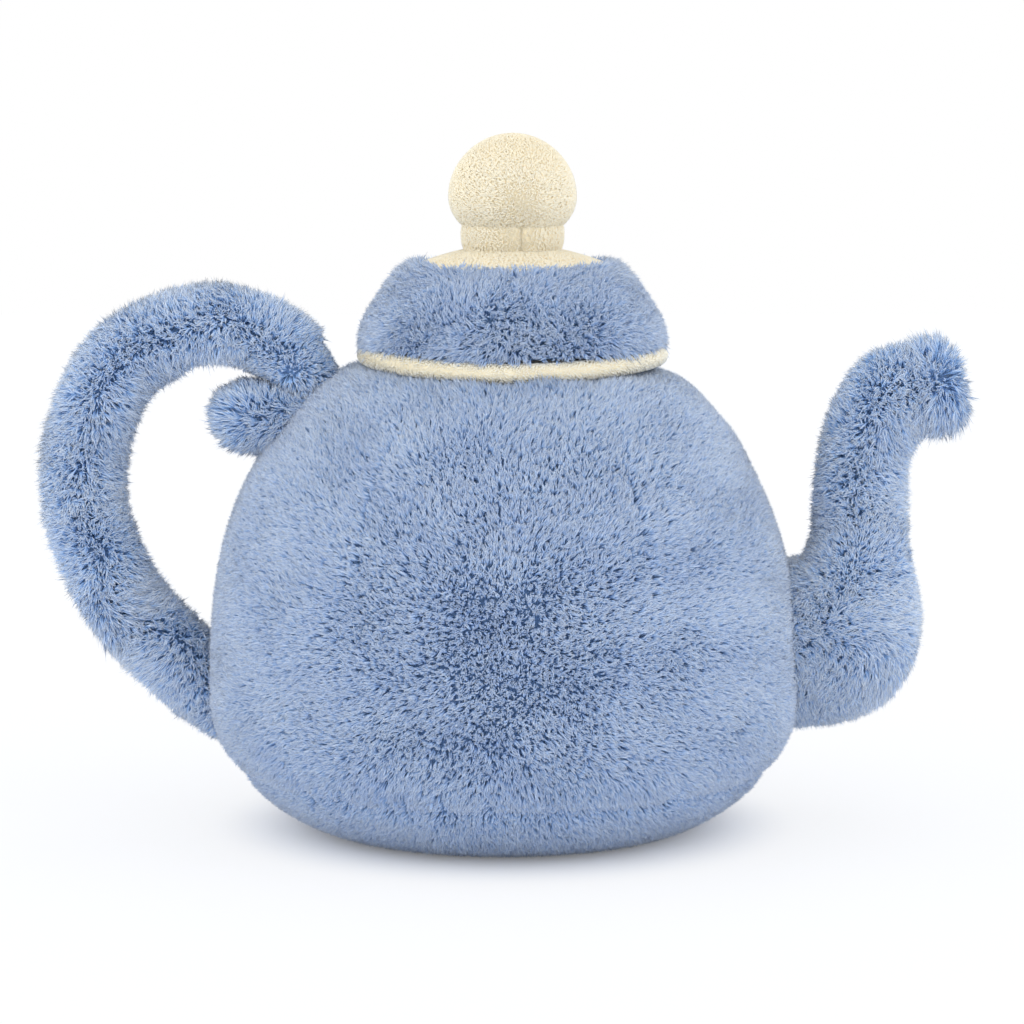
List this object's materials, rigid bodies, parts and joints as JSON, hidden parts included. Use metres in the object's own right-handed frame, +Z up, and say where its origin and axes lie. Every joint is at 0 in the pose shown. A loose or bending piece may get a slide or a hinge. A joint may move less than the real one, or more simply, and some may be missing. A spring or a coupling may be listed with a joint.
{
  "type": "plush teapot",
  "caption": "Stuffed plush teapot with a gored bell body, piped lid, ball knob, scroll handle and S-shaped spout; a soft toy that stands on its flat base.",
  "frame": {"origin": "centre of the flat underside, on the surface that the teapot stands on", "axes": "+X towards the spout, +Z up through the knob, the pictured side faces -Y"},
  "size_m": [0.2895, 0.1844, 0.2161],
  "materials": {
    "body_plush": "matte",
    "long_plush": "matte",
    "cream_velour": "matte",
    "stuffing": "matte",
    "bean_bag_cotton": "matte",
    "piping_cord_cotton": "matte"
  },
  "bodies": {
    "pot": {"body_gore_back_spout_side": "body_plush", "body_gore_back": "body_plush", "body_gore_back_handle_side": "body_plush", "body_gore_front_handle_side": "body_plush", "body_gore_front": "body_plush", "body_gore_front_spout_side": "body_plush", "base_panel": "body_plush", "base_bean_bag": "bean_bag_cotton", "body_stuffing": "stuffing", "neck_piping": "cream_velour", "neck_piping_cord": "piping_cord_cotton", "lid_wall": "long_plush", "lid_top": "cream_velour", "lid_stuffing": "stuffing", "knob_neck": "cream_velour", "handle_upper_seam": "long_plush", "handle_lower_seam": "long_plush", "spout_seam": "long_plush"},
    "spout": {"spout_front": "long_plush", "spout_back": "long_plush", "spout_stuffing": "stuffing"},
    "handle": {"handle_front": "long_plush", "handle_back": "long_plush", "handle_stuffing": "stuffing"},
    "knob": {"knob_handle_side": "cream_velour", "knob_spout_side": "cream_velour", "knob_stuffing": "stuffing"}
  },
  "joints": [
    {"name": "spout_sway", "type": "hinge", "parent": "pot", "child": "spout", "pos_m": [0.094, 0, 0.0575], "axis": [0, 0, 1], "range_deg": [-15, 15], "stiffness_Nm_per_rad": 0.08, "deforming": ["spout_seam"]},
    {"name": "handle_sway", "type": "hinge", "parent": "pot", "child": "handle", "pos_m": [-0.0936, 0, 0.0442], "axis": [0.3139, 0, 0.9494], "range_deg": [-15, 15], "stiffness_Nm_per_rad": 0.08, "deforming": ["handle_upper_seam", "handle_lower_seam"]},
    {"name": "knob_tilt", "type": "hinge", "parent": "pot", "child": "knob", "pos_m": [0.0028, 0, 0.1805], "axis": [0, 1, 0], "range_deg": [-15, 15], "stiffness_Nm_per_rad": 0.05, "deforming": ["knob_neck"]}
  ]
}
